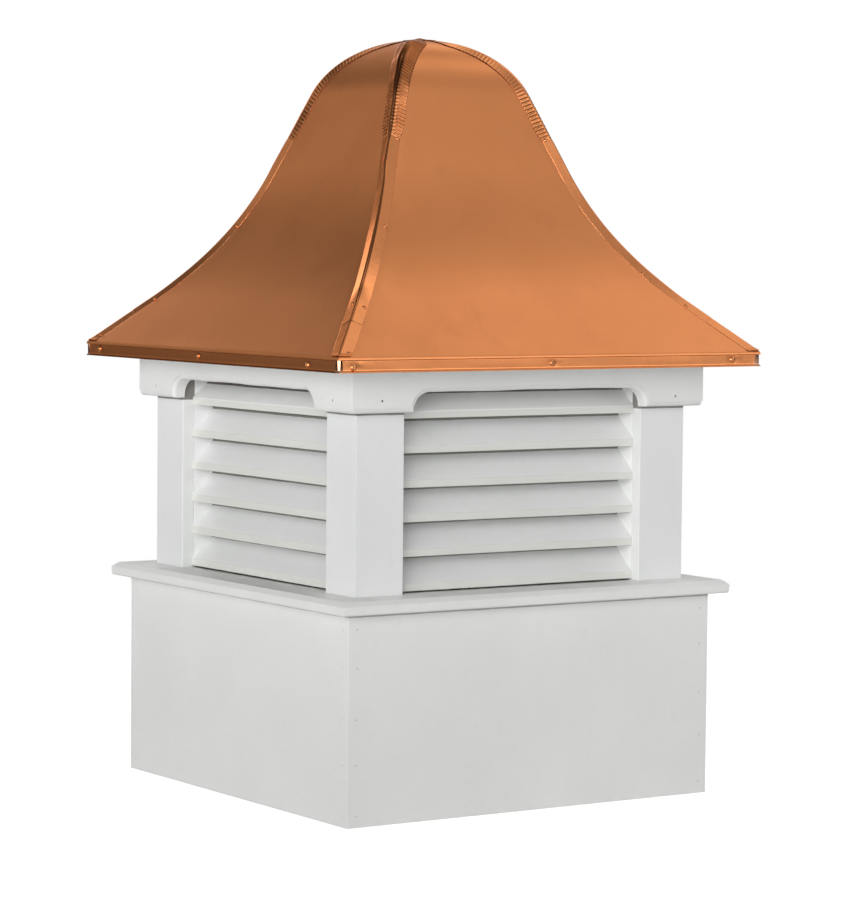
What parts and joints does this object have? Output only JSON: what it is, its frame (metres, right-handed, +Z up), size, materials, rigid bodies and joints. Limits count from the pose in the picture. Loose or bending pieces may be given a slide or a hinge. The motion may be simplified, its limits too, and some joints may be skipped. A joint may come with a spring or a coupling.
{
  "type": "barn roof cupola",
  "caption": "Square white louvered roof cupola on a plain box base with a moulded sill, notched frieze boards and a bell-shaped copper roof; vents a barn or garage roof.",
  "frame": {"origin": "middle of the base's footprint, on the level it stands on", "axes": "+Z up towards the roof peak; -Y is the front, +X the right side; all four sides are alike"},
  "size_m": [0.8868, 0.8868, 1.3535],
  "materials": {
    "white_vinyl": "satin white cellular PVC board",
    "copper": "satin mill-finish copper sheet",
    "wood": "bare planed softwood"
  },
  "bodies": {
    "root": {"base_board_front": "white_vinyl", "sill_front": "white_vinyl", "louver_slats_front": "white_vinyl", "louver_stiles_front": "white_vinyl", "frieze_front": "white_vinyl", "drip_edge_front": "copper", "roof_panel_front": "copper", "base_board_right": "white_vinyl", "sill_right": "white_vinyl", "louver_slats_right": "white_vinyl", "louver_stiles_right": "white_vinyl", "frieze_right": "white_vinyl", "drip_edge_right": "copper", "roof_panel_right": "copper", "base_board_back": "white_vinyl", "sill_back": "white_vinyl", "louver_slats_back": "white_vinyl", "louver_stiles_back": "white_vinyl", "frieze_back": "white_vinyl", "drip_edge_back": "copper", "roof_panel_back": "copper", "base_board_left": "white_vinyl", "sill_left": "white_vinyl", "louver_slats_left": "white_vinyl", "louver_stiles_left": "white_vinyl", "frieze_left": "white_vinyl", "drip_edge_left": "copper", "roof_panel_left": "copper", "base_cleat_front_right": "wood", "corner_post_front_right": "white_vinyl", "hip_cap_front_right": "copper", "base_cleat_back_right": "wood", "corner_post_back_right": "white_vinyl", "hip_cap_back_right": "copper", "base_cleat_back_left": "wood", "corner_post_back_left": "white_vinyl", "hip_cap_back_left": "copper", "base_cleat_front_left": "wood", "corner_post_front_left": "white_vinyl", "hip_cap_front_left": "copper", "roof_deck": "white_vinyl", "roof_peak": "copper"}
  },
  "joints": []
}
